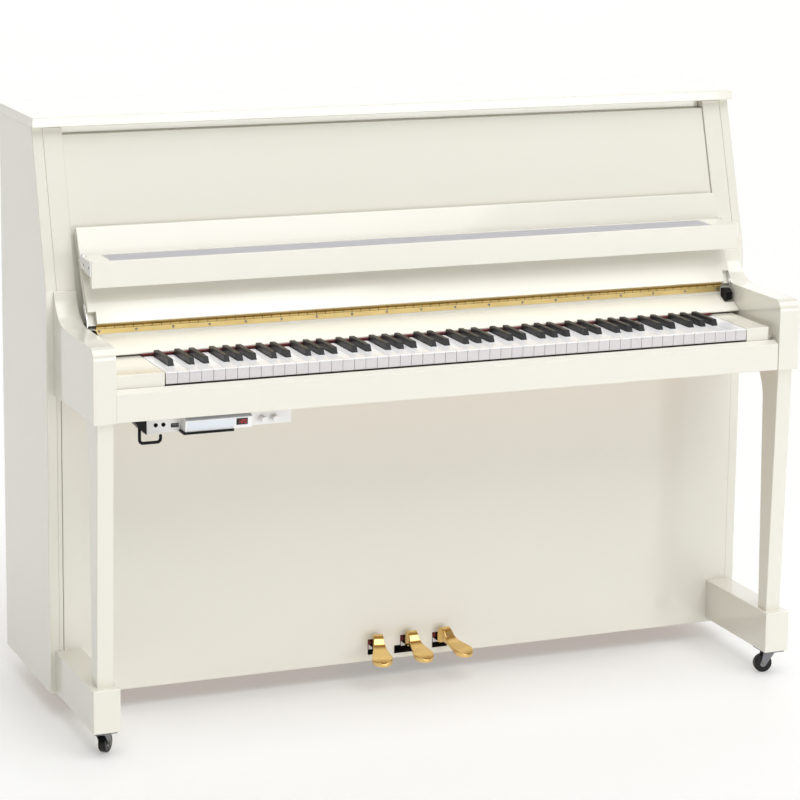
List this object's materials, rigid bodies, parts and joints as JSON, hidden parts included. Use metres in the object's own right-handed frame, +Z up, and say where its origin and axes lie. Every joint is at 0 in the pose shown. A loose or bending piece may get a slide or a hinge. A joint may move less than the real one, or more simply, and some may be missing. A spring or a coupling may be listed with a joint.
{
  "type": "upright piano",
  "caption": "Upright piano in gloss ivory white with open fallboard and music ledge, front legs on toe blocks with casters, brass pedals and a control unit under the keybed.",
  "frame": {"origin": "middle of the overall box, on the floor", "axes": "+X to the player's right along the keyboard, +Y towards the back, +Z up"},
  "size_m": [1.52, 0.616, 1.18],
  "materials": {
    "white_lacquer": "high-gloss ivory-white polyester lacquer over board",
    "case_wood": "plain varnished hardwood and board",
    "spruce": "satin varnished spruce with maple bridges",
    "maple_block": "laminated maple",
    "white_key": "white acrylic covering on a spruce stick, semi-gloss",
    "black_key": "black composite covering on a spruce stick, satin",
    "red_felt": "dark red wool felt",
    "cast_plate": "bronze-coloured paint on cast iron",
    "string_steel": "music wire, copper wound in the bass",
    "action_wood": "hornbeam and maple with pressed felt",
    "hinge_brass": "polished lacquered brass",
    "pedal_brass": "polished brass",
    "damper_black": "black moulded plastic and black coated rod",
    "fitting_steel": "bright plated steel",
    "white_bracket": "white moulded plastic and painted plate",
    "ledge_mat": "thin grey non-slip mat",
    "caster_metal": "dark grey painted steel",
    "caster_tyre": "black moulded wheel"
  },
  "bodies": {
    "case": {"side_panel_left": "white_lacquer", "side_panel_right": "white_lacquer", "pilasters": "white_lacquer", "arm_left": "white_lacquer", "arm_right": "white_lacquer", "legs": "white_lacquer", "toe_blocks": "white_lacquer", "upper_front_panel": "white_lacquer", "lower_front_panel": "white_lacquer", "key_slip": "white_lacquer", "key_blocks": "white_lacquer", "hinge_rail": "white_lacquer", "bottom_board": "case_wood", "keybed": "case_wood", "back_frame": "case_wood", "key_frame": "case_wood", "trapwork": "case_wood", "soundboard": "spruce", "pinblock": "maple_block", "key_felt": "red_felt", "iron_plate": "cast_plate", "strings_and_pins": "string_steel", "action_frame": "action_wood", "hammers": "action_wood", "fallboard_hinge_fixed": "hinge_brass", "lid_hinges": "hinge_brass", "fallboard_dampers": "damper_black", "headphone_hook": "damper_black", "control_box": "white_bracket", "caster_plates": "caster_metal"},
    "fallboard": {"fallboard": "white_lacquer", "fallboard_hinge_moving": "hinge_brass", "fallboard_fittings": "fitting_steel"},
    "ledge": {"music_ledge": "white_lacquer", "ledge_mat": "ledge_mat", "ledge_brackets": "white_bracket"},
    "lid": {"lid": "white_lacquer", "lid_knuckles": "hinge_brass"},
    "pedal_left": {"pedal_left": "pedal_brass"},
    "pedal_middle": {"pedal_middle": "pedal_brass"},
    "pedal_right": {"pedal_right": "pedal_brass"},
    "knob_left": {"knob_left": "white_bracket"},
    "knob_right": {"knob_right": "white_bracket"},
    "fork_left": {"caster_fork_left": "caster_metal"},
    "fork_right": {"caster_fork_right": "caster_metal"},
    "wheel_left": {"caster_wheel_left": "caster_tyre"},
    "wheel_right": {"caster_wheel_right": "caster_tyre"},
    "rear_wheels": {"rear_wheels": "caster_tyre"},
    "key_c": {"keys_c": "white_key"},
    "key_d": {"keys_d": "white_key"},
    "key_e": {"keys_e": "white_key"},
    "key_f": {"keys_f": "white_key"},
    "key_g": {"keys_g": "white_key"},
    "key_a": {"keys_a": "white_key"},
    "key_b": {"keys_b": "white_key"},
    "key_c_sharp": {"keys_c_sharp": "black_key"},
    "key_d_sharp": {"keys_d_sharp": "black_key"},
    "key_f_sharp": {"keys_f_sharp": "black_key"},
    "key_g_sharp": {"keys_g_sharp": "black_key"},
    "key_a_sharp": {"keys_a_sharp": "black_key"}
  },
  "joints": [
    {"name": "fallboard_turn", "type": "hinge", "parent": "case", "child": "fallboard", "pos_m": [0, -0.0944, 0.789], "axis": [1, 0, 0], "range_deg": [0, 117]},
    {"name": "ledge_level", "type": "hinge", "parent": "fallboard", "child": "ledge", "pos_m": [0, -0.0543, 0.9194], "axis": [1, 0, 0], "range_deg": [-118, 1]},
    {"name": "lid_turn", "type": "hinge", "parent": "case", "child": "lid", "pos_m": [0, 0.3035, 1.156], "axis": [-1, 0, 0], "range_deg": [0, 100]},
    {"name": "key_c_press", "type": "hinge", "parent": "case", "child": "key_c", "pos_m": [0, -0.073, 0.712], "axis": [1, 0, 0], "range_deg": [0, 2.6], "stiffness_Nm_per_rad": 15, "springref_deg": -2.86},
    {"name": "key_d_press", "type": "hinge", "parent": "case", "child": "key_d", "pos_m": [0, -0.073, 0.712], "axis": [1, 0, 0], "range_deg": [0, 2.6], "stiffness_Nm_per_rad": 15, "springref_deg": -2.86},
    {"name": "key_e_press", "type": "hinge", "parent": "case", "child": "key_e", "pos_m": [0, -0.073, 0.712], "axis": [1, 0, 0], "range_deg": [0, 2.6], "stiffness_Nm_per_rad": 15, "springref_deg": -2.86},
    {"name": "key_f_press", "type": "hinge", "parent": "case", "child": "key_f", "pos_m": [0, -0.073, 0.712], "axis": [1, 0, 0], "range_deg": [0, 2.6], "stiffness_Nm_per_rad": 15, "springref_deg": -2.86},
    {"name": "key_g_press", "type": "hinge", "parent": "case", "child": "key_g", "pos_m": [0, -0.073, 0.712], "axis": [1, 0, 0], "range_deg": [0, 2.6], "stiffness_Nm_per_rad": 15, "springref_deg": -2.86},
    {"name": "key_a_press", "type": "hinge", "parent": "case", "child": "key_a", "pos_m": [0, -0.073, 0.712], "axis": [1, 0, 0], "range_deg": [0, 2.6], "stiffness_Nm_per_rad": 15, "springref_deg": -2.86},
    {"name": "key_b_press", "type": "hinge", "parent": "case", "child": "key_b", "pos_m": [0, -0.073, 0.712], "axis": [1, 0, 0], "range_deg": [0, 2.6], "stiffness_Nm_per_rad": 15, "springref_deg": -2.86},
    {"name": "key_c_sharp_press", "type": "hinge", "parent": "case", "child": "key_c_sharp", "pos_m": [0, -0.073, 0.712], "axis": [1, 0, 0], "range_deg": [0, 2.6], "stiffness_Nm_per_rad": 15, "springref_deg": -2.86},
    {"name": "key_d_sharp_press", "type": "hinge", "parent": "case", "child": "key_d_sharp", "pos_m": [0, -0.073, 0.712], "axis": [1, 0, 0], "range_deg": [0, 2.6], "stiffness_Nm_per_rad": 15, "springref_deg": -2.86},
    {"name": "key_f_sharp_press", "type": "hinge", "parent": "case", "child": "key_f_sharp", "pos_m": [0, -0.073, 0.712], "axis": [1, 0, 0], "range_deg": [0, 2.6], "stiffness_Nm_per_rad": 15, "springref_deg": -2.86},
    {"name": "key_g_sharp_press", "type": "hinge", "parent": "case", "child": "key_g_sharp", "pos_m": [0, -0.073, 0.712], "axis": [1, 0, 0], "range_deg": [0, 2.6], "stiffness_Nm_per_rad": 15, "springref_deg": -2.86},
    {"name": "key_a_sharp_press", "type": "hinge", "parent": "case", "child": "key_a_sharp", "pos_m": [0, -0.073, 0.712], "axis": [1, 0, 0], "range_deg": [0, 2.6], "stiffness_Nm_per_rad": 15, "springref_deg": -2.86},
    {"name": "pedal_left_press", "type": "hinge", "parent": "case", "child": "pedal_left", "pos_m": [-0.0715, 0.13, 0.074], "axis": [1, 0, 0], "range_deg": [0, 3.5], "stiffness_Nm_per_rad": 60, "springref_deg": -3.44},
    {"name": "pedal_middle_press", "type": "hinge", "parent": "case", "child": "pedal_middle", "pos_m": [0, 0.13, 0.074], "axis": [1, 0, 0], "range_deg": [0, 3.5], "stiffness_Nm_per_rad": 60, "springref_deg": -3.44},
    {"name": "pedal_right_press", "type": "hinge", "parent": "case", "child": "pedal_right", "pos_m": [0.0715, 0.13, 0.074], "axis": [1, 0, 0], "range_deg": [0, 3.5], "stiffness_Nm_per_rad": 60, "springref_deg": -3.44},
    {"name": "knob_left_turn", "type": "hinge", "parent": "case", "child": "knob_left", "pos_m": [-0.3995, -0.28, 0.63], "axis": [0, -1, 0], "range_deg": [-140, 140]},
    {"name": "knob_right_turn", "type": "hinge", "parent": "case", "child": "knob_right", "pos_m": [-0.376, -0.28, 0.63], "axis": [0, -1, 0], "range_deg": [-140, 140]},
    {"name": "caster_left_swivel", "type": "hinge", "parent": "case", "child": "fork_left", "pos_m": [-0.719, -0.27, 0.044], "axis": [0, 0, 1], "continuous": true},
    {"name": "caster_left_roll", "type": "hinge", "parent": "fork_left", "child": "wheel_left", "pos_m": [-0.71064, -0.26004, 0.019], "axis": [-0.766, 0.6428, 0], "continuous": true},
    {"name": "caster_right_swivel", "type": "hinge", "parent": "case", "child": "fork_right", "pos_m": [0.719, -0.27, 0.044], "axis": [0, 0, 1], "continuous": true},
    {"name": "caster_right_roll", "type": "hinge", "parent": "fork_right", "child": "wheel_right", "pos_m": [0.70613, -0.26819, 0.019], "axis": [-0.1392, -0.9903, 0], "continuous": true},
    {"name": "rear_wheels_roll", "type": "hinge", "parent": "case", "child": "rear_wheels", "pos_m": [0, 0.268, 0.019], "axis": [1, 0, 0], "continuous": true}
  ],
  "couplings": [
    {"joint": "ledge_level", "follows": "fallboard_turn", "ratio": -1}
  ]
}
